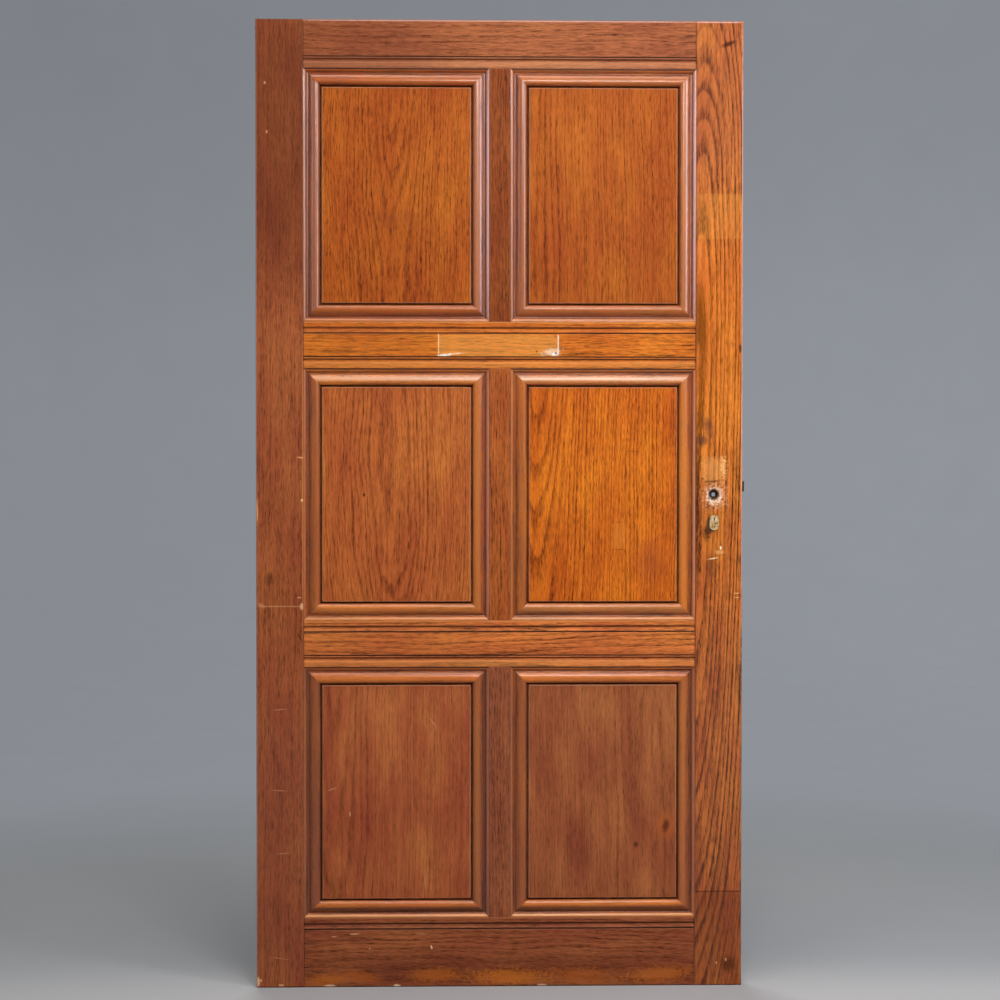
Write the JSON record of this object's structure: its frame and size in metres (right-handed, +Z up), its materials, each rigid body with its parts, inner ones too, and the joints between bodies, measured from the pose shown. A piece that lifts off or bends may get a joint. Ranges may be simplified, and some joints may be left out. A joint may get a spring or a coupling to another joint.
{
  "type": "oak door",
  "caption": "Panelled oak door leaf with raised panels, mitred mouldings, fluted rails and a mortise lock with an oval key cylinder.",
  "frame": {"origin": "middle of the bottom edge of the leaf, halfway through its thickness", "axes": "+Z up along the stiles, +X towards the lock edge seen from the front, front face towards -Y"},
  "size_m": [1.0385, 0.046, 2.05],
  "materials": {
    "oak": "worn satin varnish",
    "dark_oak": "worn satin varnish",
    "golden_oak": "worn satin varnish",
    "panel_oak": "worn satin varnish",
    "moulding_oak": "worn satin varnish",
    "lock_steel": "dull",
    "old_iron": "rusty brown",
    "cylinder_brass": "dull"
  },
  "bodies": {
    "leaf": {"hinge_stile": "dark_oak", "lock_stile": "golden_oak", "top_rail": "oak", "upper_cross_rail": "oak", "lower_cross_rail": "oak", "bottom_rail": "dark_oak", "upper_muntin": "oak", "middle_muntin": "oak", "lower_muntin": "oak", "upper_left_panel": "panel_oak", "upper_right_panel": "panel_oak", "middle_left_panel": "panel_oak", "middle_right_panel": "panel_oak", "lower_left_panel": "panel_oak", "lower_right_panel": "panel_oak", "upper_left_front_moulding": "moulding_oak", "upper_right_front_moulding": "moulding_oak", "middle_left_front_moulding": "moulding_oak", "middle_right_front_moulding": "moulding_oak", "lower_left_front_moulding": "moulding_oak", "lower_right_front_moulding": "moulding_oak", "upper_left_back_moulding": "moulding_oak", "upper_right_back_moulding": "moulding_oak", "middle_left_back_moulding": "moulding_oak", "middle_right_back_moulding": "moulding_oak", "lower_left_back_moulding": "moulding_oak", "lower_right_back_moulding": "moulding_oak", "tenon_wedges": "golden_oak", "lock_case": "lock_steel", "lock_cover": "lock_steel", "cover_screws": "lock_steel", "forend": "lock_steel", "forend_screws": "lock_steel", "latch_spring": "lock_steel", "cylinder_body": "cylinder_brass", "cylinder_screw": "lock_steel"},
    "latch": {"latch_bolt": "old_iron"},
    "follower": {"follower": "old_iron"},
    "dead_bolt": {"dead_bolt": "old_iron"},
    "front_plug": {"front_plug": "cylinder_brass", "cylinder_cam": "lock_steel"},
    "back_plug": {"back_plug": "cylinder_brass"}
  },
  "joints": [
    {"name": "follower_turn", "type": "hinge", "parent": "leaf", "child": "follower", "pos_m": [0.456, 0, 1.048], "axis": [0, -1, 0], "range_deg": [0, 25]},
    {"name": "latch_slide", "type": "slide", "parent": "leaf", "child": "latch", "axis": [-1, 0, 0], "range_m": [0, 0.006], "stiffness_N_per_m": 60, "springref_m": -0.012, "deforming": ["latch_spring"]},
    {"name": "key_turn", "type": "hinge", "parent": "leaf", "child": "front_plug", "pos_m": [0.456, 0, 0.995], "axis": [0, 1, 0], "range_deg": [0, 360]},
    {"name": "dead_bolt_slide", "type": "slide", "parent": "leaf", "child": "dead_bolt", "axis": [1, 0, 0], "range_m": [0, 0.014]},
    {"name": "back_plug_turn", "type": "hinge", "parent": "leaf", "child": "back_plug", "pos_m": [0.456, 0, 0.995], "axis": [0, 1, 0], "range_deg": [0, 360]}
  ],
  "couplings": [
    {"joint": "follower_turn", "follows": "latch_slide", "rad_per_m": 72.7},
    {"joint": "key_turn", "follows": "dead_bolt_slide", "rad_per_m": 448.79}
  ]
}
